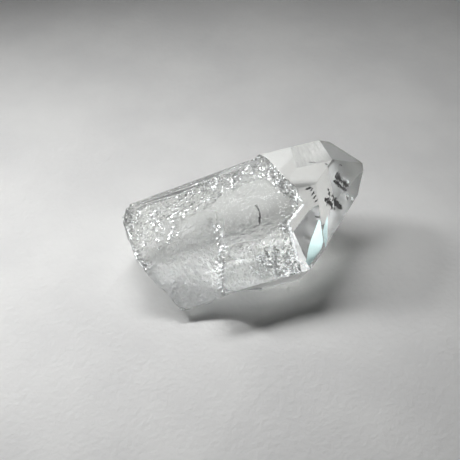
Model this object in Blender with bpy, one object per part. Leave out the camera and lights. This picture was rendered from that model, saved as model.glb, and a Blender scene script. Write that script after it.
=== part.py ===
"""A clear quartz point, lying on one of its prism faces.

The tip end is a six-sided prism closed by six rhombohedral faces, all of them flat
growth faces. The rest of the crystal is broken and etched: a long rough slope runs down
from a ledge behind the tip to the base, the front prism face is etched below a thin
ridge, and the corner and the end of the base are broken off.

The c axis is level and runs along X, with the tip at +X. The front of the crystal is at
-Y. Lengths in the tables are millimetres, and heights are above the resting face.
"""

import math
from typing import NamedTuple

import bmesh
import bpy
from mathutils import Matrix, Vector, noise

MM = 0.001

NODE = "quartz_crystal"
AXIS_HEIGHT = 10.3  # of the c axis above the resting face
ROUGH_BASE = -52.0  # X of the plain end that the breaks of the base take off

# Prism faces: turn of the face about the c axis, in degrees from straight up towards
# the front, and its distance from the axis.
PRISM_FACES = {
    "top": (0, 10.3),
    "front_upper": (60, 9.35),
    "front_lower": (120, 12.36),
    "resting": (180, 10.3),
    "back_lower": (240, 11.39),
    "back_upper": (300, 10.34),
}

# Faces of the tip: the same turn, and the distance from the axis point at X = 0. Their
# normals make the angle of quartz's rhombohedral faces with the c axis.
RHOMB_ANGLE = math.radians(51.79)
TIP_FACES = {
    "above_top": (0, 2.36),
    "above_front_upper": (60, -1.85),
    "above_front_lower": (120, -1.72),
    "above_resting": (180, -1.81),
    "above_back_lower": (240, 1.46),
    "above_back_upper": (300, 4.2),
}


class Break(NamedTuple):
    """A broken or etched surface: three points of its plane (X, Y, Z),
    counterclockwise as seen from outside, the width and height of its cutting face,
    the step of that face's grid, and the heights of its broad swells and of its small
    scales. A surface with no step is smooth."""

    points: tuple
    size: tuple = (40.0, 40.0)
    step: float = 0.0
    swell: float = 0.0
    scales: float = 0.0


SLOPE = Break(
    points=((-17.5, -6.5, 17.7), (-43.0, 8.5, 12.5), (-46.0, -3.0, 8.1)),
    size=(46.0, 32.0),
    step=0.75,
    swell=0.16,
    scales=0.10,
)
LEDGE = Break(
    points=((-20.9, 5.8, 20.6), (-20.9, 1.5, 18.0), (-18.9, -2.7, 20.6)),
    size=(36.0, 60.0),
    step=0.6,
    swell=0.25,
    scales=0.25,
)
BACK_MARGIN = Break(((-24.0, 7.0, 18.5), (-45.0, 11.5, 11.1), (-33.0, 6.0, 15.95)))
FRONT_RIDGE = Break(((-21.1, -7.6, 15.9), (-20.4, -11.5, 9.1), (-21.1, -9.3, 16.9)))
CORNER = Break(
    points=((-42.8, -9.3, 2.3), (-37.6, -10.3, 2.9), (-44.0, -2.0, 8.4)),
    size=(34.0, 34.0),
    step=0.75,
    swell=0.3,
    scales=0.12,
)
CORNER_STEP = Break(
    points=((-32.2, -0.2, 13.3), (-34.7, -12.2, 7.9), (-33.8, -9.7, 12.3)),
    size=(34.0, 34.0),
    step=0.75,
    swell=0.3,
    scales=0.25,
)
BASE_LEFT = Break(
    points=((-46.8, -0.4, 7.6), (-44.2, 2.0, 0.0), (-42.6, -9.0, 2.6)),
    size=(36.0, 36.0),
    step=0.9,
    swell=0.4,
    scales=0.3,
)
BASE_MIDDLE = BASE_LEFT._replace(
    points=((-47.1, 5.0, 8.5), (-46.2, 3.0, 0.0), (-47.1, 0.0, 8.5))
)
BASE_RIGHT = BASE_LEFT._replace(
    points=((-44.9, 11.7, 10.9), (-45.4, 9.5, 0.0), (-47.2, 7.6, 9.1))
)

# The etched front face lies this far below the growth face.
ETCH_DEPTH = 0.3
ETCH_SIZE = (44.0, 24.0)
ETCH_STEP = 0.75
ETCH_SWELL = 0.08
ETCH_SCALES = 0.12

# A shell-shaped chip under the front edge: centre and radius of its hollow
CHIP_CENTRE = (-31.2, -15.1, -2.8)
CHIP_RADIUS = 8.9

# Span of one swell and of one scale of a broken surface
SWELL_SPAN = 6.0
SCALE_SPAN = 1.7

# Sizes of the block that the faces trim and of the slabs that cut it
BLOCK_SIZE = 160.0
SLAB_DEPTH = 40.0


def clear_scene():
    for old in list(bpy.data.objects):
        bpy.data.objects.remove(old, do_unlink=True)


def new_collection(name):
    made = bpy.data.collections.new(name)
    bpy.context.scene.collection.children.link(made)
    return made


def make_object(name, bm, collection):
    """The mesh as an object in metres."""
    bmesh.ops.scale(bm, vec=(MM, MM, MM), verts=bm.verts)
    bmesh.ops.recalc_face_normals(bm, faces=bm.faces)
    mesh = bpy.data.meshes.new(name)
    bm.to_mesh(mesh)
    bm.free()
    made = bpy.data.objects.new(name, mesh)
    collection.objects.link(made)
    return made


def make_cutter(name, bm, collection):
    made = make_object(name, bm, collection)
    made.hide_render = True
    made.display_type = "WIRE"
    return made


def boolean(target, other, operation):
    modifier = target.modifiers.new(other.name, "BOOLEAN")
    modifier.operation = operation
    modifier.solver = "MANIFOLD"
    modifier.object = other


def quartz_material():
    made = bpy.data.materials.new("clear_quartz")
    made.use_nodes = True
    shader = made.node_tree.nodes["Principled BSDF"]
    shader.inputs["Base Color"].default_value = (0.95, 0.955, 0.95, 1)
    shader.inputs["Roughness"].default_value = 0.05
    shader.inputs["Metallic"].default_value = 0.0
    shader.inputs["Transmission Weight"].default_value = 1.0
    shader.inputs["IOR"].default_value = 1.544
    return made


def face_normal(turn, lean):
    """Normal of a growth face: its turn about the c axis in degrees, and the angle
    that it leans from the axis."""
    angle = math.radians(turn)
    side = Vector((0, -math.sin(angle), math.cos(angle)))
    return Vector((math.cos(lean), 0, 0)) + math.sin(lean) * side


def growth_planes():
    """Point and normal of every growth face."""
    axis_point = Vector((0, 0, AXIS_HEIGHT))
    for faces, lean in ((PRISM_FACES, math.pi / 2), (TIP_FACES, RHOMB_ANGLE)):
        for turn, distance in faces.values():
            normal = face_normal(turn, lean)
            yield axis_point + distance * normal, normal


def trim(bm, point, normal):
    """Cuts off what lies beyond a plane and closes the cut with a flat face."""
    everything = bm.verts[:] + bm.edges[:] + bm.faces[:]
    cut = bmesh.ops.bisect_plane(
        bm, geom=everything, plane_co=point, plane_no=normal, clear_outer=True
    )
    rim = [e for e in cut["geom_cut"] if isinstance(e, bmesh.types.BMEdge)]
    if rim:
        bmesh.ops.contextual_create(bm, geom=rim)


def grown_crystal(collection):
    """The crystal as it grew, with a plain end where the base was."""
    bm = bmesh.new()
    bmesh.ops.create_cube(bm, size=BLOCK_SIZE)
    for point, normal in growth_planes():
        trim(bm, point, normal)
    trim(bm, Vector((ROUGH_BASE, 0, 0)), Vector((-1, 0, 0)))
    crystal = make_object(NODE, bm, collection)
    crystal.data.materials.append(quartz_material())
    return crystal


def plane_of(points):
    """Centre and outward normal of the plane through three points."""
    first, second, third = (Vector(p) for p in points)
    normal = (second - first).cross(third - first).normalized()
    return (first + second + third) / 3, normal


def place_on_plane(bm, centre, normal):
    """Lays a mesh on a plane, with its own X along the crystal where the plane allows."""
    guide = Vector((0, 1, 0)) if abs(normal.x) > 0.8 else Vector((1, 0, 0))
    along = (guide - guide.dot(normal) * normal).normalized()
    across = normal.cross(along)
    turn = Matrix((along, across, normal)).transposed().to_4x4()
    bmesh.ops.transform(bm, matrix=Matrix.Translation(centre) @ turn, verts=bm.verts)


def relief(u, v, surface, seed):
    """Height of a broken quartz surface: broad shell-like swells with small sharp
    scales on them."""
    broad = noise.noise(Vector((u / SWELL_SPAN, v / SWELL_SPAN, seed)))
    nearest = noise.voronoi(Vector((u / SCALE_SPAN, v / SCALE_SPAN, seed)))[0][0]
    return surface.swell * broad * 2 + surface.scales * (nearest * 2 - 1)


def slab(name, surface, seed, collection, plane=None):
    """A thick slab on the outer side of a surface, whose under face cuts the crystal."""
    centre, normal = plane or plane_of(surface.points)
    width, height = surface.size
    columns = round(width / surface.step) if surface.step else 1
    rows = round(height / surface.step) if surface.step else 1
    bm = bmesh.new()
    bmesh.ops.create_grid(bm, x_segments=columns, y_segments=rows, size=0.5)
    bmesh.ops.scale(bm, vec=(width, height, 1), verts=bm.verts)
    under = bm.verts[:]
    thick = bmesh.ops.extrude_face_region(bm, geom=bm.faces[:], use_keep_orig=True)
    upper = [v for v in thick["geom"] if isinstance(v, bmesh.types.BMVert)]
    bmesh.ops.translate(bm, vec=(0, 0, SLAB_DEPTH), verts=upper)
    for vert in under:
        vert.co.z = relief(vert.co.x, vert.co.y, surface, seed)
    place_on_plane(bm, centre, normal)
    return make_cutter(name, bm, collection)


def etched_front(collection):
    """Slab over the front upper face, sunk by the depth of the etching."""
    turn, distance = PRISM_FACES["front_upper"]
    normal = face_normal(turn, math.pi / 2)
    axis_point = Vector((FRONT_RIDGE.points[0][0], 0, AXIS_HEIGHT))
    centre = axis_point + (distance - ETCH_DEPTH) * normal
    surface = Break((), ETCH_SIZE, ETCH_STEP, ETCH_SWELL, ETCH_SCALES)
    return slab("etched_front", surface, 3.5, collection, (centre, normal))


def chip_hollow(collection):
    bm = bmesh.new()
    bmesh.ops.create_icosphere(bm, subdivisions=4, radius=CHIP_RADIUS)
    bmesh.ops.translate(bm, vec=CHIP_CENTRE, verts=bm.verts)
    return make_cutter("front_chip", bm, collection)


def break_and_etch(crystal, collection):
    """Cuts every broken or etched surface, from the ledge to the base."""
    ledge = slab("ledge", LEDGE, 1.3, collection)
    slope = slab("slope", SLOPE, 2.6, collection)
    margin = slab("back_margin", BACK_MARGIN, 0, collection)
    front = etched_front(collection)
    ridge = slab("front_ridge", FRONT_RIDGE, 0, collection)
    corner = slab("corner", CORNER, 4.1, collection)
    corner_step = slab("corner_step", CORNER_STEP, 5.7, collection)
    boolean(slope, margin, "UNION")
    for cutter, limit in ((slope, ledge), (front, ridge), (corner, corner_step)):
        boolean(cutter, limit, "INTERSECT")
        boolean(crystal, cutter, "DIFFERENCE")
    for name, surface, seed in (
        ("base_left", BASE_LEFT, 6.2),
        ("base_middle", BASE_MIDDLE, 7.9),
        ("base_right", BASE_RIGHT, 8.4),
    ):
        boolean(crystal, slab(name, surface, seed, collection), "DIFFERENCE")
    boolean(crystal, chip_hollow(collection), "DIFFERENCE")


def stand_at_origin(crystal, parts, cutters):
    """Moves the crystal and its cutters together, so that the crystal's box stands
    over the origin."""
    depsgraph = bpy.context.evaluated_depsgraph_get()
    corners = [Vector(c) for c in crystal.evaluated_get(depsgraph).bound_box]
    middle = (min(corners, key=sum) + max(corners, key=sum)) / 2
    frame = bpy.data.objects.new("frame", None)
    parts.objects.link(frame)
    for made in (crystal, *cutters.objects):
        made.parent = frame
    frame.location = (-middle.x, -middle.y, 0)


def main():
    clear_scene()
    parts = new_collection(NODE)
    cutters = new_collection("cutters")
    crystal = grown_crystal(parts)
    break_and_etch(crystal, cutters)
    stand_at_origin(crystal, parts, cutters)


main()
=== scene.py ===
"""Looks of a clear quartz point: glossy growth faces at the tip, a broken, etched and
milky body, bright chips where it is crushed, and dark flakes and a bright crack inside.

X runs along the crystal with the tip at +X, the front is at -Y, and Z is above the
resting face. Lengths in the tables are millimetres.
"""

import math

import bmesh
import bpy
from bpy.props import FloatProperty, FloatVectorProperty, IntProperty, PointerProperty
from mathutils import Matrix, Vector, noise


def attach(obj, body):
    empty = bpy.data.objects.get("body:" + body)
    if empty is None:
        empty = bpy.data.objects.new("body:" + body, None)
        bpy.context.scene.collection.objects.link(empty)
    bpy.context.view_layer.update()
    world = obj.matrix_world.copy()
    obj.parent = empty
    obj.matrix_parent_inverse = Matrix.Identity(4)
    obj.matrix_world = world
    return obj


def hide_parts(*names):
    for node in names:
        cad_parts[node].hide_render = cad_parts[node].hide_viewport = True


bl_info = {
    "name": "Quartz point",
    "version": (1, 0, 0),
    "blender": (4, 5, 0),
    "location": "3D View > Sidebar > Quartz",
    "description": "Dresses a clear quartz point and sets it on a pale sheet",
    "category": "Object",
}

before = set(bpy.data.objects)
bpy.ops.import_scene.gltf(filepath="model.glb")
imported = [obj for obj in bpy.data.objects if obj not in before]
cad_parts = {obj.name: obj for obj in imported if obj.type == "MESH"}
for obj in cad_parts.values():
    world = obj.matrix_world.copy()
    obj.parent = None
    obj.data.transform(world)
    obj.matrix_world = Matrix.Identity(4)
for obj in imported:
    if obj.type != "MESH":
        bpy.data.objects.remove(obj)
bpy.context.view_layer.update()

MM = 0.001
NODE = "quartz_crystal"
BODY = "root"
CLEAR, BROKEN = 0, 1
QUARTZ_IOR = 1.544

# Flat, glossy faces. A growth face has a turn about the crystal's axis, in degrees, and
# a distance from one point of the axis. The back margin goes through three places,
# whose X is measured from that point.
AXIS_X = 23.85
AXIS_HEIGHT = 10.3
RHOMB_ANGLE = math.radians(51.79)
PRISM_FACES = {0: 10.3, 60: 9.35, 120: 12.36, 180: 10.3, 240: 11.39, 300: 10.34}
TIP_FACES = {0: 2.36, 60: -1.85, 120: -1.72, 180: -1.81, 240: 1.46, 300: 4.2}
BACK_MARGIN = ((-24.0, 7.0, 18.5), (-45.0, 11.5, 11.1), (-33.0, 6.0, 15.95))
FLAT_TOLERANCE = 0.02
MERGE_DISTANCE = 0.001

# Zones of the broken surfaces, each a rounded bar: its two ends, its radius, how softly
# it fades beyond that, and how frosted it is. Elsewhere the frost is BARE_FROST. Each
# zone is laid over the ones before it, and the frosted ones over the clear ones.
BARE_FROST = 0.35
MOST_FROST = 1.2
FROST_ZONES = (
    ((2.7, 5.1, 20.0), (5.6, -5.9, 18.8), 1.5, 0.8, 1.25),
    ((1.3, 4.4, 19.0), (-8.2, 5.6, 15.6), 1.6, 1.2, 0.9),
    ((-8.2, 5.2, 15.6), (-17.1, 5.4, 12.3), 2.2, 1.6, 0.9),
    ((-16.3, 4.9, 12.5), (-17.2, 0.5, 11.1), 2.2, 1.5, 0.95),
    ((-21.8, 8.6, 11.3), (-23.2, -1.0, 8.3), 1.6, 1.5, 0.9),
    ((1.9, -11.4, 8.7), (-2.6, -10.5, 10.3), 2.4, 1.5, 1.05),
    ((2.0, -7.7, 15.2), (3.3, -11.3, 8.9), 1.0, 0.8, 1.0),
    ((4.6, -5.7, 18.9), (6.2, -6.2, 17.6), 0.7, 0.6, 1.3),
    ((-9.8, -5.6, 8.0), (-10.9, -10.3, 5.8), 0.6, 0.5, 1.2),
    ((-8.6, -0.9, 12.7), (-9.5, -5.8, 11.3), 0.8, 1.2, 0.97),
    ((-9.1, -6.2, 12.2), (-9.8, -6.8, 8.0), 0.3, 0.5, 1.1),
    ((-14.5, -3.6, 8.9), (-14.0, -5.0, 7.6), 0.8, 0.8, 0.9),
    ((-15.4, -4.1, 8.3), (-14.1, -8.0, 4.6), 3.0, 2.0, 0.5),
    ((-15.1, 2.0, 12.2), (-17.2, 0.4, 11.1), 0.3, 0.3, 1.4),
)
CLEAR_ZONES = (
    ((3.7, -3.8, 17.5), (-6.0, 0.9, 15.2), 2.5, 1.5, 0.08),
    ((1.1, -5.4, 16.1), (-5.0, -4.0, 14.2), 2.0, 1.5, 0.1),
    ((-0.9, -8.2, 14.4), (-8.1, -9.7, 11.6), 1.0, 0.8, 0.15),
    ((-11.5, 2.0, 13.4), (-13.5, 1.7, 12.7), 1.6, 1.2, 0.15),
)

# How raggedly the frost comes and goes: the size, the share, and the noise's roughness,
# the step between its octaves and their number
RAGGED_SPAN = 1.4
RAGGED_SHARE = 0.35
RAGGED_OCTAVES = (0.8, 2.0, 3)

# The frost from which the surface crumbles
CRUMBLY_FROM = 0.4

# Fine growth lines on the broken surfaces run this way, and noise is squeezed so much
# along them
STRIATION = Vector((-0.84, 0.04, -0.54))
STRIATION_SQUEEZE = 0.9

# Thin dark flakes just under the surface, most of them in the tip: both ends, the width
FLAKES = (
    ((14.6, -0.5, 17.1), (16.2, -0.1, 15.2), 2.4),
    ((15.4, -0.2, 16.1), (18.2, 0.2, 12.7), 1.1),
    ((14.0, -1.2, 16.7), (16.2, -0.8, 14.0), 1.0),
    ((15.2, -1.0, 15.1), (17.3, -0.6, 12.5), 1.2),
    ((12.0, -2.9, 17.0), (12.4, -3.5, 15.3), 0.9),
    ((10.8, -4.4, 16.2), (13.2, -4.3, 12.6), 1.9),
    ((12.9, -3.2, 15.2), (14.5, -3.6, 11.8), 2.0),
    ((13.3, -3.4, 14.0), (15.3, -3.4, 11.0), 1.5),
    ((7.0, -4.7, 19.9), (8.2, -4.6, 20.0), 0.5),
    ((7.9, -5.0, 19.4), (8.4, -4.8, 19.9), 0.5),
    ((8.0, -5.4, 18.7), (8.7, -5.1, 19.3), 0.45),
    ((8.2, -5.7, 18.1), (8.8, -5.5, 18.6), 0.45),
    ((8.3, -6.1, 17.5), (9.0, -5.9, 17.9), 0.35),
    ((12.9, -0.1, 20.1), (13.3, -0.7, 20.1), 0.4),
    ((16.4, 1.0, 18.1), (17.3, 1.4, 17.3), 0.4),
    ((10.3, 1.5, 19.8), (11.7, 0.7, 19.8), 0.25),
    ((8.0, -7.4, 15.4), (8.8, -7.6, 15.0), 0.5),
    ((17.1, -1.5, 12.3), (17.4, -1.8, 11.4), 0.4),
    ((-1.2, -1.6, 16.1), (-0.9, -3.3, 15.6), 0.5),
    ((-0.9, -3.3, 15.5), (-1.7, -5.2, 14.5), 0.6),
    ((-7.1, -7.0, 12.45), (-6.7, -7.2, 12.45), 0.35),
    ((-6.3, -7.5, 12.55), (-5.9, -7.6, 12.55), 0.4),
)
FLAKE_FACING = Vector((-0.25, -0.6, 0.76))
FLAKE_THICKNESS = 0.04

# The grid that a flake is cut from: cells to a millimetre of half its length, the
# fewest that there may be along it, and the cells across it
FLAKE_CELLS_ALONG = 12
FEWEST_CELLS = 6
FLAKE_CELLS_ACROSS = 8

# The teeth along a flake's sides: how many there are to half a flake, where they end on
# average and how far they vary, as shares of the half width, and how blunt the ends are
TEETH = 9.0
TOOTH_MIDDLE = 0.52
TOOTH_REACH = 0.48
BLUNT_ENDS = 1.05

# What sets one flake's teeth apart from the next one's in the noise, and its two sides
FLAKE_STEP = 31.7
SIDE_ROWS = (1, 7)

# A flat bright crack in the tip: its plane, the grid that it is cut from, and its
# corners seen from above
CRACK_NORMAL = Vector((-0.1682, -0.2092, 0.9633))
CRACK_CENTRE = Vector((7.9, -6.8, 8.77))
CRACK_REACH = 6.0
CRACK_CELLS = (110, 110)
CRACK_THICKNESS = 0.02
CRACK_CORNERS = (
    (10.42, -2.7),
    (10.13, -2.7),
    (7.0, -7.0),
    (5.25, -10.4),
    (5.6, -11.4),
    (8.7, -9.1),
    (9.6, -7.6),
)

# Zones of the broken surfaces that are matt and even instead of sparkling, and the
# mattness above which a face is shaded smooth
MATT_FROM = 0.04
MATT_ZONES = (
    ((-19.7, -4.8, 6.1), (-14.1, -8.0, 4.6), 2.6, 2.0, 1.0),
    ((-18.0, -2.0, 9.0), (-11.5, -3.5, 10.0), 2.4, 2.2, 0.9),
    ((-16.7, 0.8, 11.3), (-9.5, -0.6, 12.8), 1.8, 2.0, 0.6),
    ((-6.0, 1.0, 15.2), (2.0, -1.5, 17.2), 2.2, 2.0, 0.07),
    ((-6.0, -4.5, 13.9), (1.5, -7.5, 14.2), 1.6, 1.8, 0.1),
    ((-7.2, -8.2, 12.4), (-4.5, -8.8, 12.6), 0.9, 1.0, 0.6),
    ((-8.5, -10.9, 9.5), (-3.5, -11.5, 8.5), 1.8, 1.6, 1.0),
)

# Milky zones of the broken surfaces
MILK_ZONES = (
    ((-8.6, -2.1, 13.5), (-9.1, -6.2, 12.2), 0.5, 0.9, 0.9),
    ((-9.0, -5.0, 12.2), (-10.9, -8.8, 5.3), 0.5, 0.9, 0.9),
    ((-14.6, -4.0, 8.7), (-14.2, -4.6, 8.2), 0.6, 0.9, 0.95),
    ((-20.4, 0.8, 10.0), (-20.8, -0.3, 9.6), 0.8, 1.0, 0.6),
    ((-10.5, -0.2, 12.5), (-9.3, -3.0, 10.6), 0.9, 1.6, 0.75),
    ((-16.7, 0.8, 11.3), (-11.5, -1.7, 11.2), 1.4, 1.8, 0.6),
    ((-9.6, -3.6, 10.0), (-10.4, -5.6, 8.6), 0.5, 1.2, 0.8),
    ((-16.0, -3.4, 8.6), (-14.2, -5.0, 7.8), 1.0, 1.4, 0.6),
    ((-20.3, 2.0, 10.3), (-21.5, -1.5, 8.6), 1.2, 1.6, 0.6),
    ((-19.0, -4.6, 6.4), (-13.5, -8.4, 4.6), 3.0, 2.0, 0.9),
    ((-18.0, -2.5, 8.6), (-12.5, -4.5, 8.8), 2.0, 2.0, 0.6),
    ((-8.5, -10.9, 9.5), (-3.5, -11.5, 8.5), 1.4, 1.6, 0.3),
    ((2.6, 3.6, 20.0), (4.2, -2.0, 19.6), 1.0, 1.0, 0.5),
    ((2.4, -10.4, 10.4), (-3.5, -11.4, 8.6), 1.4, 1.5, 0.4),
)

# Bright chips: the planes that cut one from a small ball, each as a point and the side
# that falls away
SPLINTER_CUTS = (
    ((0.22, 0.0, 0.0), (1.0, 0.3, 0.2)),
    ((-0.25, 0.0, 0.05), (-0.8, 0.5, 0.4)),
    ((0.0, 0.2, 0.0), (0.1, 1.0, -0.4)),
    ((0.0, 0.0, -0.2), (-0.3, -0.4, -1.0)),
)

# Lines of chips, along the ridges and along the streaks on the step
CHIPPED_RIDGES = (
    (
        (6.0, -6.4, 17.9),
        (2.8, -7.6, 15.8),
        (3.0, -9.0, 13.5),
        (3.2, -10.1, 11.5),
        (3.4, -11.3, 9.4),
        (5.4, -12.4, 7.5),
    ),
    ((5.2, -5.3, 19.7), (5.9, -6.0, 18.6)),
    ((5.0, -5.2, 19.0), (5.3, -5.7, 18.2)),
    ((17.4, -1.7, 12.7), (17.7, -1.8, 12.2)),
    ((18.8, -1.5, 11.0), (18.9, -1.6, 10.6)),
    ((18.2, -0.1, 14.4), (18.4, -0.1, 14.1)),
)
CHIPPED_STREAKS = (
    ((-9.5, -4.8, 8.7), (-9.0, -6.7, 12.0)),
    ((-9.6, -5.5, 10.5), (-8.3, -6.3, 12.4)),
    ((-10.0, -6.3, 7.5), (-9.2, -9.3, 11.3)),
    ((-10.2, -6.9, 7.1), (-9.9, -9.9, 10.9)),
    ((-10.6, -7.4, 6.5), (-10.3, -10.5, 10.4)),
    ((-10.8, -8.0, 6.0), (-10.6, -10.7, 9.6)),
    ((-11.1, -8.4, 5.5), (-10.5, -9.7, 7.5)),
    ((-11.0, -9.0, 5.0), (-10.9, -10.7, 7.3)),
)

# The ways that chips face to catch the light, above and in front, and how far each chip
# tips from its way
CHIP_FACINGS = (
    (Vector((-0.28, -0.09, 0.96)), 0.3),
    (Vector((-0.48, -0.74, 0.47)), 0.06),
)

# Chips in lines: the step between them, how far they stand out, and their sizes
LINE_STEP = 0.07
LINE_RISE = 0.24
RIDGE_CHIP = 0.6
STREAK_CHIP = 0.32

# Chips strewn over crushed faces: the frost from which a face has them, how many it has
# on each square millimetre for each unit of frost above that, how far they stand out,
# their size, and how finely the noise that places them is read
CRUSHED_FROM = 0.75
CRUMB_SHARE = 10.0
CRUMB_RISE = 0.05
CRUMB_CHIP = 0.45
CRUMB_NOISE = 7.3

# How chips vary: the seed of the random draws, the thickness as a share of the length,
# the width and the size each as a least share and a random part, and the shift
CHIP_SEED = 5
CHIP_THICKNESS = 0.2
CHIP_WIDTH = (0.6, 0.4)
CHIP_SIZE = (0.7, 0.6)
CHIP_SHIFT = 0.06

# The lights: place, aim and size, and the spread in degrees
STRIP_LIGHT = ((-28, 116, 208), (-28, -15, 0), (240, 30), 70)
LAMP = ((-128, 114, 150), (-38, 2, 0), (45, 45), 80)

# Bright patches of the surroundings: the way towards each, and the cosines of the angle
# from it at which the patch starts and is full
GLOW_PATCH = ((0.27, 0.65, 0.72), 0.9, 0.985)
WALL_PATCH = ((-0.58, -0.8, 0.16), 0.7, 0.93)
ROOM_COLOUR = (0.97, 0.99, 1.0, 1)

# The sheet's side, how far it lies below the crystal, and the camera's sensor
SHEET_SIZE = 3000
SHEET_DROP = 0.03
SENSOR_WIDTH = 36.0
VIEW_GAMMA = 0.88


class QuartzSurface(bpy.types.PropertyGroup):
    cuts: IntProperty(
        name="Cuts",
        description="Cuts across each facet of the broken surfaces",
        default=3,
        min=1,
        max=6,
    )
    rounding: IntProperty(
        name="Rounding",
        description="Times that the edges between the broken facets are smoothed",
        default=16,
        min=0,
        max=50,
    )
    sharp_angle: FloatProperty(
        name="Sharp angle",
        description="Edges sharper than this angle stay crisp",
        default=math.radians(22),
        subtype="ANGLE",
        unit="ROTATION",
    )
    scale_height: FloatProperty(
        name="Scale height",
        description="Height of the small scales on frosted surfaces, in millimetres",
        default=0.16,
        min=0.0,
        max=1.0,
    )
    scale_span: FloatProperty(
        name="Scale span",
        description="Distance between neighbouring scales, in millimetres",
        default=0.55,
        min=0.1,
        max=5.0,
    )
    crumb_height: FloatProperty(
        name="Crumb height",
        description="Height of the crumbs on crushed surfaces, in millimetres",
        default=0.3,
        min=0.0,
        max=1.0,
    )
    crumb_span: FloatProperty(
        name="Crumb span",
        description="Size of the crumbs on crushed surfaces, in millimetres",
        default=0.45,
        min=0.05,
        max=2.0,
    )
    body_colour: FloatVectorProperty(
        name="Body colour",
        description="Colour of light that has passed through the crystal",
        default=(0.93, 0.94, 0.93),
        subtype="COLOR",
        min=0.0,
        max=1.0,
    )
    body_density: FloatProperty(
        name="Body density",
        description="Strength of the body colour, per metre",
        default=6.0,
        min=0.0,
    )


class QuartzStage(bpy.types.PropertyGroup):
    camera_place: FloatVectorProperty(
        name="Camera place",
        description="Place of the camera",
        default=(-0.04966, -0.11451, 0.1344),
        subtype="TRANSLATION",
        unit="LENGTH",
    )
    camera_turn: FloatProperty(
        name="Camera azimuth",
        description="Turn of the view about the vertical, from +Y towards -X",
        default=math.radians(-21.15),
        subtype="ANGLE",
        unit="ROTATION",
    )
    camera_drop: FloatProperty(
        name="Camera elevation",
        description="Angle of the view below the horizon",
        default=math.radians(45.51),
        subtype="ANGLE",
        unit="ROTATION",
    )
    camera_roll: FloatProperty(
        name="Camera roll",
        description="Roll of the camera about its view",
        default=math.radians(0.69),
        subtype="ANGLE",
        unit="ROTATION",
    )
    camera_lens: FloatProperty(
        name="Lens",
        description="Focal length on a 36 mm sensor, in millimetres",
        default=73.93,
        min=10.0,
    )
    strip_power: FloatProperty(
        name="Strip light",
        description="Power of the long light above and behind the crystal",
        default=0.081,
        unit="POWER",
    )
    lamp_power: FloatProperty(
        name="Lamp",
        description="Power of the small lamp at the back left",
        default=0.043,
        unit="POWER",
    )
    glow: FloatProperty(
        name="Glow",
        description="Brightness of the soft glow behind the crystal",
        default=0.7,
        min=0.0,
    )
    wall: FloatProperty(
        name="Wall",
        description="Brightness of the pale wall in front, near the horizon",
        default=1.8,
        min=0.0,
    )
    fill: FloatProperty(
        name="Fill",
        description="Brightness of the rest of the surroundings",
        default=0.37,
        min=0.0,
    )


class Socket:
    """A node's output, on which Python arithmetic adds the matching Math nodes."""

    def __init__(self, shading, link):
        self.shading = shading
        self.link = link

    def other(self, output):
        """Another output of the same node."""
        return Socket(self.shading, self.link.node.outputs[output])

    def math(self, operation, *others):
        return self.shading.node(
            "ShaderNodeMath",
            {"operation": operation},
            dict(enumerate((self, *others))),
        )

    def __add__(self, other):
        return self.math("ADD", other)

    __radd__ = __add__

    def __mul__(self, other):
        return self.math("MULTIPLY", other)

    __rmul__ = __mul__

    def __rsub__(self, other):
        return (self * -1) + other

    def between(self, low, high):
        """0 at low, 1 at high, and clamped beyond them."""
        return self.shading.node(
            "ShaderNodeMapRange",
            {"interpolation_type": "SMOOTHSTEP"},
            {"Value": self, "From Min": low, "From Max": high},
        )


class Shading:
    """The nodes of a material or a world, written as Python expressions."""

    def __init__(self, made):
        self.made = made
        made.use_nodes = True
        self.tree = made.node_tree

    def node(self, kind, settings=None, inputs=None, output=0):
        """A new node: its settings, then its sockets' values or links."""
        made = self.tree.nodes.new(kind)
        for setting, value in (settings or {}).items():
            setattr(made, setting, value)
        for socket, value in (inputs or {}).items():
            if isinstance(value, Socket):
                self.tree.links.new(value.link, made.inputs[socket])
            else:
                made.inputs[socket].default_value = value
        return Socket(self, made.outputs[output])

    def coordinates(self, output="Object"):
        return self.node("ShaderNodeTexCoord", output=output)

    def vector(self, operation, *vectors, output="Vector"):
        return self.node(
            "ShaderNodeVectorMath",
            {"operation": operation},
            dict(enumerate(vectors)),
            output,
        )

    def place(self):
        """Where a point lies on the object, in millimetres."""
        return self.vector("MULTIPLY", self.coordinates(), (1 / MM,) * 3)

    def noise(self, place, scale, detail, distortion=0.0):
        return self.node(
            "ShaderNodeTexNoise",
            None,
            {
                "Vector": place,
                "Scale": scale,
                "Detail": detail,
                "Distortion": distortion,
            },
        )

    def blend(self, share, first, second):
        """A colour between two. The node's colours are sockets 6 and 7, and their
        result is output 2."""
        return self.node(
            "ShaderNodeMix",
            {"data_type": "RGBA"},
            {0: share, 6: first, 7: second},
            output=2,
        )

    def attribute(self, name):
        return self.node("ShaderNodeAttribute", {"attribute_name": name}, output="Fac")

    def across(self, place, direction):
        """The place, squeezed along a direction so that patterns become lines."""
        along = self.vector("DOT_PRODUCT", place, tuple(direction), output="Value")
        part = self.node(
            "ShaderNodeVectorMath",
            {"operation": "SCALE"},
            {0: tuple(direction), "Scale": along * STRIATION_SQUEEZE},
        )
        return self.vector("SUBTRACT", place, part)

    def plates(self, place, span, seed):
        """Height of a surface of small tilted plates that meet in sharp lines."""
        moved = self.vector("ADD", place, (seed, 0.0, 0.0))
        colour = self.node(
            "ShaderNodeTexVoronoi",
            None,
            {"Vector": moved, "Scale": 1 / span},
            output="Color",
        )
        tilt = self.vector("SUBTRACT", colour, (0.5, 0.5, 0.5))
        arm = self.vector("SUBTRACT", moved, colour.other("Position"))
        return self.vector("DOT_PRODUCT", tilt, arm, output="Value")


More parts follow.
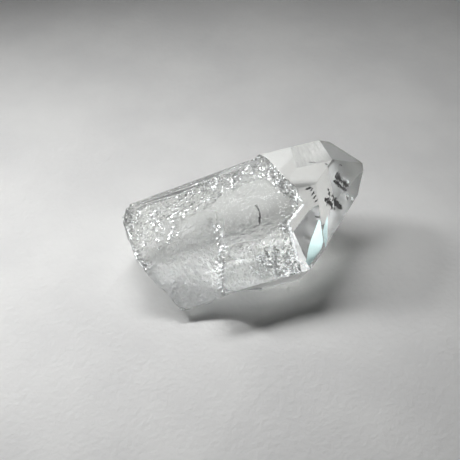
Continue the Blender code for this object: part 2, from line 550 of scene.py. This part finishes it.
class Material(Shading):
    """A material with one main shader."""

    def __init__(self, name, **constants):
        super().__init__(bpy.data.materials.new(name))
        self.shader = self.tree.nodes["Principled BSDF"]
        self.output = self.tree.nodes["Material Output"]
        for socket, value in constants.items():
            self.shader.inputs[socket.replace("_", " ")].default_value = value

    def feed(self, socket, value):
        self.tree.links.new(value.link, self.shader.inputs[socket])

    def shader_output(self):
        return Socket(self, self.shader.outputs[0])

    def bump(self, height):
        """Relief of a height in millimetres."""
        relief = self.node(
            "ShaderNodeBump", None, {"Height": height, "Distance": MM, "Strength": 1.0}
        )
        self.feed("Normal", relief)
        return relief


def deselect_all():
    if bpy.context.object and bpy.context.object.mode != "OBJECT":
        bpy.ops.object.mode_set(mode="OBJECT")
    bpy.ops.object.select_all(action="DESELECT")


def make_active(made):
    deselect_all()
    made.select_set(True)
    bpy.context.view_layer.objects.active = made


def start_editing(made, kind):
    """Opens an object for editing with nothing selected, and returns its mesh."""
    make_active(made)
    bpy.ops.object.mode_set(mode="EDIT")
    bpy.ops.mesh.select_mode(type=kind)
    bpy.ops.mesh.select_all(action="DESELECT")
    return bmesh.from_edit_mesh(made.data)


def join_flat(parts, name):
    """One flat-shaded object made of all the parts."""
    deselect_all()
    for part in parts:
        part.select_set(True)
    bpy.context.view_layer.objects.active = parts[0]
    bpy.ops.object.join()
    joined = bpy.context.object
    joined.name = name
    bpy.ops.object.shade_flat()
    return joined


def growth_normal(turn, lean):
    """Outward normal of a growth face, which leans away from the axis."""
    angle = math.radians(turn)
    side = Vector((0, -math.sin(angle), math.cos(angle)))
    return Vector((math.cos(lean), 0, 0)) + math.sin(lean) * side


def flat_planes():
    """Point and normal of each flat, glossy face."""
    axis_point = Vector((AXIS_X, 0, AXIS_HEIGHT))
    for faces, lean in ((PRISM_FACES, math.pi / 2), (TIP_FACES, RHOMB_ANGLE)):
        for turn, distance in faces.items():
            normal = growth_normal(turn, lean)
            yield axis_point + distance * normal, normal
    first, second, third = (Vector(p) + Vector((AXIS_X, 0, 0)) for p in BACK_MARGIN)
    yield first, (second - first).cross(third - first).normalized()


def is_flat(face, planes):
    """True for a face of the frame that lies on one of the flat planes."""
    return any(
        all(abs((v.co / MM - point).dot(normal)) < FLAT_TOLERANCE for v in face.verts)
        for point, normal in planes
    )


def merged_copy(name):
    """A copy of the frame's crystal, as one closed skin."""
    made = bpy.data.objects.new(name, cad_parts[NODE].data.copy())
    bpy.context.scene.collection.objects.link(made)
    made.data.materials.clear()
    make_active(made)
    bpy.ops.object.mode_set(mode="EDIT")
    bpy.ops.mesh.select_all(action="SELECT")
    bpy.ops.mesh.remove_doubles(threshold=MERGE_DISTANCE * MM)
    bpy.ops.object.mode_set(mode="OBJECT")
    return made


def zone_share(place, first, second, radius, fade):
    """1 inside a rounded bar, falling to 0 over the fade beyond it."""
    first, second = Vector(first), Vector(second)
    along = second - first
    share = max(0.0, min(1.0, (place - first).dot(along) / along.length_squared))
    gap = (place - first - share * along).length - radius
    step = max(0.0, min(1.0, 1.0 - gap / fade))
    return step * step * (3 - 2 * step)


def frost_at(place):
    """How frosted a broken surface is at a place, from 0 to MOST_FROST."""
    frost = BARE_FROST
    for *zone, amount in CLEAR_ZONES + FROST_ZONES:
        frost += (amount - frost) * zone_share(place, *zone)
    ragged = noise.fractal(place / RAGGED_SPAN, *RAGGED_OCTAVES)
    return max(0.0, min(MOST_FROST, frost + RAGGED_SHARE * ragged))


def most_of(place, zones):
    """The largest amount that any of the zones gives at a place."""
    return max(amount * zone_share(place, *zone) for *zone, amount in zones)


def divide_rough_faces(made, cuts):
    """Adds vertices to the broken and etched surfaces and leaves their faces selected.
    Returns the numbers of their vertices, without those on the rim of a flat face."""
    planes = list(flat_planes())
    bm = start_editing(made, "FACE")
    for face in bm.faces:
        face.select = not is_flat(face, planes)
    bmesh.update_edit_mesh(made.data)
    bpy.ops.mesh.subdivide(number_cuts=cuts)
    bpy.ops.object.mode_set(mode="OBJECT")
    faces = made.data.polygons
    rough = {v for face in faces if face.select for v in face.vertices}
    flat = {v for face in faces if not face.select for v in face.vertices}
    return sorted(rough - flat)


def round_off(made, numbers, repeat):
    """Softens the edges between the facets of the broken surfaces."""
    bm = start_editing(made, "VERT")
    bm.verts.ensure_lookup_table()
    for number in numbers:
        bm.verts[number].select = True
    bmesh.update_edit_mesh(made.data)
    bpy.ops.mesh.vertices_smooth(factor=0.5, repeat=repeat)
    bpy.ops.object.mode_set(mode="OBJECT")


def mark_zones(made, numbers):
    """Keeps how scaly and how crushed the vertices of the broken surfaces are, for the
    relief, and how frosted, matt and milky they are, for the material."""
    places = {number: made.data.vertices[number].co / MM for number in numbers}
    frosted = {number: frost_at(place) for number, place in places.items()}
    scaly = made.vertex_groups.new(name="scaly")
    crushed = made.vertex_groups.new(name="crushed")
    for number, frost in frosted.items():
        scaly.add([number], min(1.0, frost), "REPLACE")
        crushed.add([number], max(0.0, min(1.0, frost - CRUMBLY_FROM)), "REPLACE")
    matt = {number: most_of(place, MATT_ZONES) for number, place in places.items()}
    milk = {number: most_of(place, MILK_ZONES) for number, place in places.items()}
    for name, amounts in (("frost", frosted), ("matt", matt), ("milk", milk)):
        kept = made.data.attributes.new(name, "FLOAT", "POINT").data
        for number, amount in amounts.items():
            kept[number].value = amount


def add_relief(made, surface):
    """Presses scales into the frosted surfaces and crumbs into the crushed ones."""
    relief = (
        ("scales", "VORONOI", "scaly", surface.scale_span, surface.scale_height),
        ("crumbs", "CLOUDS", "crushed", surface.crumb_span, surface.crumb_height),
    )
    make_active(made)
    for name, kind, group_name, span, height in relief:
        pattern = bpy.data.textures.new(name, kind)
        pattern.noise_scale = span * MM
        modifier = made.modifiers.new(name, "DISPLACE")
        modifier.texture = pattern
        modifier.texture_coords = "LOCAL"
        modifier.vertex_group = group_name
        modifier.strength = height * MM
        modifier.mid_level = 1.0
        bpy.ops.object.modifier_apply(modifier=name)


def add_body_colour(quartz, surface):
    body = quartz.node(
        "ShaderNodeVolumeAbsorption",
        None,
        {"Color": (*surface.body_colour, 1), "Density": surface.body_density},
    )
    quartz.tree.links.new(body.link, quartz.output.inputs["Volume"])


def clear_quartz(surface):
    """The growth faces: glossy, with the faintest waviness."""
    quartz = Material(
        "clear_quartz",
        Base_Color=(0.945, 0.945, 0.93, 1),
        Transmission_Weight=0.92,
        IOR=QUARTZ_IOR,
    )
    place = quartz.place()
    smear = quartz.noise(place, 0.4, 3.0)
    quartz.feed("Roughness", smear.between(0.45, 0.8) * 0.1 + 0.01)
    across_the_axis = quartz.vector("MULTIPLY", place, (1.6, 0.25, 0.25))
    quartz.bump(quartz.noise(across_the_axis, 1.0, 3.0) * 0.02)
    add_body_colour(quartz, surface)
    return quartz.made


def broken_quartz(surface):
    """Broken and etched surfaces: small tilted plates, growth lines and grain, clear in
    places and white in soft patches and in crumbs."""
    quartz = Material(
        "broken_quartz",
        Base_Color=(0.96, 0.965, 0.96, 1),
        Transmission_Weight=0.92,
        IOR=QUARTZ_IOR,
    )
    frost = quartz.attribute("frost")
    matt = quartz.attribute("matt")
    milk = quartz.attribute("milk")
    place = quartz.place()
    grain = quartz.noise(place, 3.0, 4.0)
    quartz.feed("Roughness", frost * (grain * 0.25 + 0.04) + matt * 0.75 + 0.03)
    plates = quartz.plates(place, 0.8, 3.0) * 0.7 + quartz.plates(place, 0.35, 8.0)
    fine = quartz.noise(place, 1.3, 5.0)
    lines = quartz.noise(quartz.across(place, STRIATION), 2.2, 3.0)
    height = (
        plates * frost * frost * 1.3
        + fine * (frost + matt * 1.8 + 0.2) * 0.5
        + lines * 0.25
    )
    relief = quartz.bump(height * (1 - matt * 0.3))
    white = quartz.node(
        "ShaderNodeBsdfPrincipled",
        None,
        {
            "Base Color": (0.93, 0.935, 0.93, 1),
            "Metallic": 0.2,
            "Normal": relief,
            "Roughness": 0.55,
            "IOR": QUARTZ_IOR,
            "Transmission Weight": 0.2,
        },
    )
    clouds = quartz.noise(place, 0.8, 6.0)
    crumbs = quartz.noise(place, 1.6, 2.0, distortion=0.6)
    patches = milk * (clouds * 0.6 + grain * 0.4).between(0.44, 0.56)
    share = patches + (crumbs + frost * frost * 0.28).between(0.82, 0.9)
    mixed = quartz.node(
        "ShaderNodeMixShader",
        None,
        {0: share.math("MINIMUM", 0.95), 1: quartz.shader_output(), 2: white},
    )
    quartz.tree.links.new(mixed.link, quartz.output.inputs["Surface"])
    add_body_colour(quartz, surface)
    return quartz.made


class QUARTZ_OT_crystal(bpy.types.Operator):
    """Dresses the crystal with relief, frost and a clear material"""

    bl_idname = "quartz.crystal"
    bl_label = "Crystal"

    def execute(self, context):
        surface = context.scene.quartz_surface
        made = merged_copy("crystal")
        rough = divide_rough_faces(made, surface.cuts)
        divided = {face.index for face in made.data.polygons if face.select}
        round_off(made, rough, surface.rounding)
        mark_zones(made, rough)
        add_relief(made, surface)
        made.data.materials.append(clear_quartz(surface))
        made.data.materials.append(broken_quartz(surface))
        for face in made.data.polygons:
            face.material_index = BROKEN if face.index in divided else CLEAR
        bpy.ops.object.shade_smooth_by_angle(angle=surface.sharp_angle)
        even = [item.value for item in made.data.attributes["matt"].data]
        for face in made.data.polygons:
            face.use_smooth = min(even[v] for v in face.vertices) > MATT_FROM
        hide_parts(NODE)
        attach(made, BODY)
        return {"FINISHED"}


def splinter():
    """A small angular chip, about half a unit across until it is sized."""
    deselect_all()
    bpy.ops.mesh.primitive_ico_sphere_add(subdivisions=1, radius=0.5)
    made = bpy.context.object
    bpy.ops.object.mode_set(mode="EDIT")
    for place, facing in SPLINTER_CUTS:
        bpy.ops.mesh.select_all(action="SELECT")
        bpy.ops.mesh.bisect(
            plane_co=place, plane_no=facing, use_fill=True, clear_outer=True
        )
    bpy.ops.object.mode_set(mode="OBJECT")
    return made


def along_line(points):
    """Places a LINE_STEP apart along a line of straight stretches."""
    for first, second in zip(points, points[1:]):
        first, second = Vector(first), Vector(second)
        steps = round((second - first).length / LINE_STEP)
        for step in range(steps):
            yield first.lerp(second, step / steps)


def chip_places(skin):
    """Where the chips lie, which way they face, how far they tip from it and how large
    they are: along the ridges and the streaks, and strewn over crushed faces."""
    facing, tip = CHIP_FACINGS[1]
    for lines, size in ((CHIPPED_RIDGES, RIDGE_CHIP), (CHIPPED_STREAKS, STREAK_CHIP)):
        for points in lines:
            for place in along_line(points):
                yield place + facing * LINE_RISE, facing, tip, size
    frosted = [item.value for item in skin.attributes["frost"].data]
    for face in skin.polygons:
        if face.material_index == BROKEN:
            crushed = sum(frosted[v] for v in face.vertices) / len(face.vertices)
            chance = (crushed - CRUSHED_FROM) * face.area / MM**2 * CRUMB_SHARE
            if abs(noise.cell(face.center / MM * CRUMB_NOISE)) < chance:
                facing, tip = max(CHIP_FACINGS, key=lambda way: face.normal.dot(way[0]))
                place = face.center / MM + face.normal * CRUMB_RISE
                yield place, facing, tip, CRUMB_CHIP


def vary(least, part):
    """A least value with a random part added."""
    return least + part * noise.random()


def chip_material():
    """The silvery gloss of crushed quartz, which mirrors light inside its cracks."""
    silver = Material("crushed_quartz", Base_Color=(0.9, 0.91, 0.91, 1), Metallic=1.0)
    grain = silver.noise(silver.place(), 4.0, 3.0)
    silver.feed("Roughness", grain * 0.2 + 0.05)
    silver.bump(grain * 0.05)
    return silver.made


class QUARTZ_OT_chips(bpy.types.Operator):
    """Adds the small bright chips along the ridges and on the crushed faces"""

    bl_idname = "quartz.chips"
    bl_label = "Chips"

    def execute(self, context):
        places = list(chip_places(bpy.data.objects["crystal"].data))
        pattern = splinter()
        chips = []
        for place, facing, tip, size in places:
            facing = (facing + noise.random_unit_vector() * tip).normalized()
            turn = facing.to_track_quat("Z", "Y").to_matrix().to_4x4()
            spin = Matrix.Rotation(noise.random() * math.tau, 4, "Z")
            stretch = Matrix.Diagonal((1.0, vary(*CHIP_WIDTH), CHIP_THICKNESS, 1.0))
            size *= vary(*CHIP_SIZE)
            chip = bpy.data.objects.new(pattern.name, pattern.data.copy())
            place += noise.random_unit_vector() * CHIP_SHIFT
            moved = Matrix.Translation(place * MM)
            scaled = Matrix.Scale(size * MM, 4)
            chip.data.transform(moved @ scaled @ turn @ spin @ stretch)
            context.scene.collection.objects.link(chip)
            chips.append(chip)
        bpy.data.objects.remove(pattern)
        joined = join_flat(chips, "bright_chips")
        joined.data.materials.append(chip_material())
        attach(joined, BODY)
        return {"FINISHED"}


def fill_corners(bm):
    """Keeps one more cell wherever two kept cells would meet only at a corner."""
    filled = True
    while filled:
        filled = False
        for corner in bm.verts:
            kept = [face for face in corner.link_faces if not face.select]
            if len(kept) == 2 and not set(kept[0].edges) & set(kept[1].edges):
                next(face for face in corner.link_faces if face.select).select = False
                filled = True


def cut_plate(name, along, across, centre, cells, keep, thickness):
    """A thin plate cut from a grid. keep says which cells stay, by their middle, which
    runs from -1 to 1 both ways. Lengths are millimetres."""
    deselect_all()
    bpy.ops.mesh.primitive_grid_add(x_subdivisions=cells[0], y_subdivisions=cells[1])
    made = bpy.context.object
    made.name = name
    bm = start_editing(made, "FACE")
    for face in bm.faces:
        middle = face.calc_center_median()
        face.select = not keep(middle.x, middle.y)
    fill_corners(bm)
    bmesh.update_edit_mesh(made.data)
    bpy.ops.mesh.delete(type="FACE")
    bpy.ops.object.mode_set(mode="OBJECT")
    up = along.cross(across).normalized()
    made.matrix_world = Matrix.Translation(centre * MM) @ Matrix(
        (along * MM, across * MM, up)
    ).transposed().to_4x4()
    bpy.ops.object.transform_apply(location=True, rotation=True, scale=True)
    wall = made.modifiers.new("thickness", "SOLIDIFY")
    wall.thickness = thickness * MM
    wall.offset = 0.0
    bpy.ops.object.modifier_apply(modifier="thickness")
    return made


def flake(number, first, second, width):
    """One dark flake: a ragged sliver with teeth along both sides."""
    first, second = Vector(first), Vector(second)
    along = (second - first) / 2
    across = along.cross(FLAKE_FACING).normalized() * width / 2

    def keep(u, v):
        row = SIDE_ROWS[0] if v > 0 else SIDE_ROWS[1]
        tooth = noise.cell(Vector((u * TEETH + number * FLAKE_STEP, row, 0.5)))
        width_here = math.sqrt(max(0.0, BLUNT_ENDS - u * u))
        return abs(v) < (TOOTH_MIDDLE + TOOTH_REACH * tooth) * width_here

    name = f"flake_{number}"
    middle = (first + second) / 2
    cells_along = max(FEWEST_CELLS, round(along.length * FLAKE_CELLS_ALONG))
    cells = (cells_along, FLAKE_CELLS_ACROSS)
    return cut_plate(name, along, across, middle, cells, keep, FLAKE_THICKNESS)


def flake_material():
    """Nearly black, with a dull grey sheen painted into its colour in patches."""
    dark = Material("dark_inclusion", Specular_IOR_Level=0.3)
    patches = dark.noise(dark.place(), 2.5, 4.0)
    share = patches.between(0.4, 0.75)
    colour = dark.blend(share, (0.012, 0.012, 0.013, 1), (0.1, 0.1, 0.1, 1))
    dark.feed("Base Color", colour)
    dark.feed("Roughness", patches * 0.5 + 0.2)
    dark.bump(patches * 0.1)
    return dark.made


class QUARTZ_OT_flakes(bpy.types.Operator):
    """Adds the thin dark flakes inside the crystal"""

    bl_idname = "quartz.flakes"
    bl_label = "Dark flakes"

    def execute(self, context):
        made = [flake(number, *place) for number, place in enumerate(FLAKES)]
        joined = join_flat(made, "dark_flakes")
        joined.data.materials.append(flake_material())
        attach(joined, BODY)
        return {"FINISHED"}


def inside_corners(place, corners):
    """True where a place, seen from above, is inside a convex outline."""
    for number, (x, y) in enumerate(corners):
        next_x, next_y = corners[(number + 1) % len(corners)]
        if (next_x - x) * (place.y - y) - (next_y - y) * (place.x - x) < 0:
            return False
    return True


def crack_material():
    """A crack's silvery mirror film, partly see-through, with a faint cyan painted into
    its colour as the colour fringe of the bright reflection that it catches.
    """
    film = Material(
        "crack_film", Base_Color=(0.74, 0.92, 0.93, 1), Metallic=1.0, Alpha=0.9
    )
    cloud = film.noise(film.place(), 0.6, 3.0)
    film.feed("Roughness", cloud * 0.15 + 0.32)
    film.bump(cloud * 0.05)
    return film.made


class QUARTZ_OT_crack(bpy.types.Operator):
    """Adds the flat bright crack inside the tip"""

    bl_idname = "quartz.crack"
    bl_label = "Bright crack"

    def execute(self, context):
        along = Vector((0, 1, 0)).cross(CRACK_NORMAL).normalized() * CRACK_REACH
        across = CRACK_NORMAL.cross(along).normalized() * CRACK_REACH

        def keep(u, v):
            place = CRACK_CENTRE + u * along + v * across
            return inside_corners(place, CRACK_CORNERS)

        made = cut_plate(
            "bright_crack",
            along,
            across,
            CRACK_CENTRE,
            CRACK_CELLS,
            keep,
            CRACK_THICKNESS,
        )
        made.data.materials.append(crack_material())
        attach(made, BODY)
        return {"FINISHED"}


def sheet_material():
    """Pale and matt, with faint clouds and a fine grain."""
    sheet = Material("pale_sheet", Roughness=0.9)
    place = sheet.coordinates()
    clouds = sheet.noise(place, 45.0, 6.0)
    share = clouds.between(0.3, 0.7)
    colour = sheet.blend(share, (0.76, 0.76, 0.755, 1), (0.83, 0.83, 0.82, 1))
    sheet.feed("Base Color", colour)
    grain = sheet.noise(place, 900.0, 4.0)
    sheet.bump(grain * 0.12 + clouds * 0.3)
    return sheet.made


def add_area_light(name, power, place, aim, size, spread):
    """A rectangular light. Its sides are level with the sheet and along the slope."""
    place, aim, size = (Vector([n * MM for n in v]) for v in (place, aim, size))
    bpy.ops.object.light_add(type="AREA", location=place)
    light = bpy.context.object
    light.name = name
    light.rotation_euler = (aim - place).to_track_quat("-Z", "Y").to_euler()
    light.data.shape = "RECTANGLE"
    light.data.size, light.data.size_y = size
    light.data.energy = power
    light.data.spread = math.radians(spread)


def soft_surroundings(stage):
    """A dim room with a soft glow behind the crystal and a pale wall in front, which
    show in the crystal without lighting the sheet."""
    room = Shading(bpy.data.worlds.new("surroundings"))
    background = room.tree.nodes["Background"]

    def patch(direction, low, high):
        toward = tuple(Vector(direction).normalized())
        looking = room.coordinates("Generated")
        facing = room.vector("DOT_PRODUCT", looking, toward, output="Value")
        return facing.between(low, high)

    glow = patch(*GLOW_PATCH) * stage.glow
    wall = patch(*WALL_PATCH) * stage.wall
    strength = glow + wall + stage.fill
    room.tree.links.new(strength.link, background.inputs["Strength"])
    background.inputs["Color"].default_value = ROOM_COLOUR
    room.made.cycles_visibility.diffuse = False
    return room.made


def add_camera(stage):
    bpy.ops.object.camera_add(location=stage.camera_place)
    camera = bpy.context.object
    level = math.cos(stage.camera_drop)
    view = Vector(
        (
            -math.sin(stage.camera_turn) * level,
            math.cos(stage.camera_turn) * level,
            -math.sin(stage.camera_drop),
        )
    )
    turn = view.to_track_quat("-Z", "Y").to_matrix().to_4x4()
    camera.rotation_euler = turn.to_euler()
    camera.rotation_euler.rotate_axis("Z", stage.camera_roll)
    camera.data.lens = stage.camera_lens
    camera.data.sensor_width = SENSOR_WIDTH
    camera.data.clip_start = MM
    bpy.context.scene.camera = camera


class QUARTZ_OT_stage(bpy.types.Operator):
    """Lays the pale sheet and places the lights and the camera"""

    bl_idname = "quartz.stage"
    bl_label = "Stage"

    def execute(self, context):
        stage = context.scene.quartz_stage
        deselect_all()
        bpy.ops.mesh.primitive_plane_add(
            size=SHEET_SIZE * MM, location=(0, 0, -SHEET_DROP * MM)
        )
        sheet = context.object
        sheet.name = "sheet"
        bpy.ops.object.transform_apply()
        sheet.data.materials.append(sheet_material())
        add_area_light("strip_light", stage.strip_power, *STRIP_LIGHT)
        add_area_light("lamp", stage.lamp_power, *LAMP)
        context.scene.view_settings.view_transform = "Standard"
        context.scene.view_settings.gamma = VIEW_GAMMA
        context.scene.world = soft_surroundings(stage)
        add_camera(stage)
        return {"FINISHED"}


class QUARTZ_PT_panel(bpy.types.Panel):
    """Lists the operators in the sidebar"""

    bl_idname = "QUARTZ_PT_panel"
    bl_label = "Quartz point"
    bl_space_type = "VIEW_3D"
    bl_region_type = "UI"
    bl_category = "Quartz"

    def draw(self, context):
        for operator in OPERATORS:
            self.layout.operator(operator.bl_idname)


OPERATORS = (
    QUARTZ_OT_crystal,
    QUARTZ_OT_chips,
    QUARTZ_OT_flakes,
    QUARTZ_OT_crack,
    QUARTZ_OT_stage,
)
CLASSES = (QuartzSurface, QuartzStage, *OPERATORS, QUARTZ_PT_panel)


def register():
    for cls in CLASSES:
        bpy.utils.register_class(cls)
    bpy.types.Scene.quartz_surface = PointerProperty(type=QuartzSurface)
    bpy.types.Scene.quartz_stage = PointerProperty(type=QuartzStage)


def unregister():
    del bpy.types.Scene.quartz_stage
    del bpy.types.Scene.quartz_surface
    for cls in reversed(CLASSES):
        bpy.utils.unregister_class(cls)


def main():
    register()
    noise.seed_set(CHIP_SEED)
    bpy.ops.quartz.crystal()
    bpy.ops.quartz.chips()
    bpy.ops.quartz.flakes()
    bpy.ops.quartz.crack()
    bpy.ops.quartz.stage()


if __name__ == "__main__":
    main()
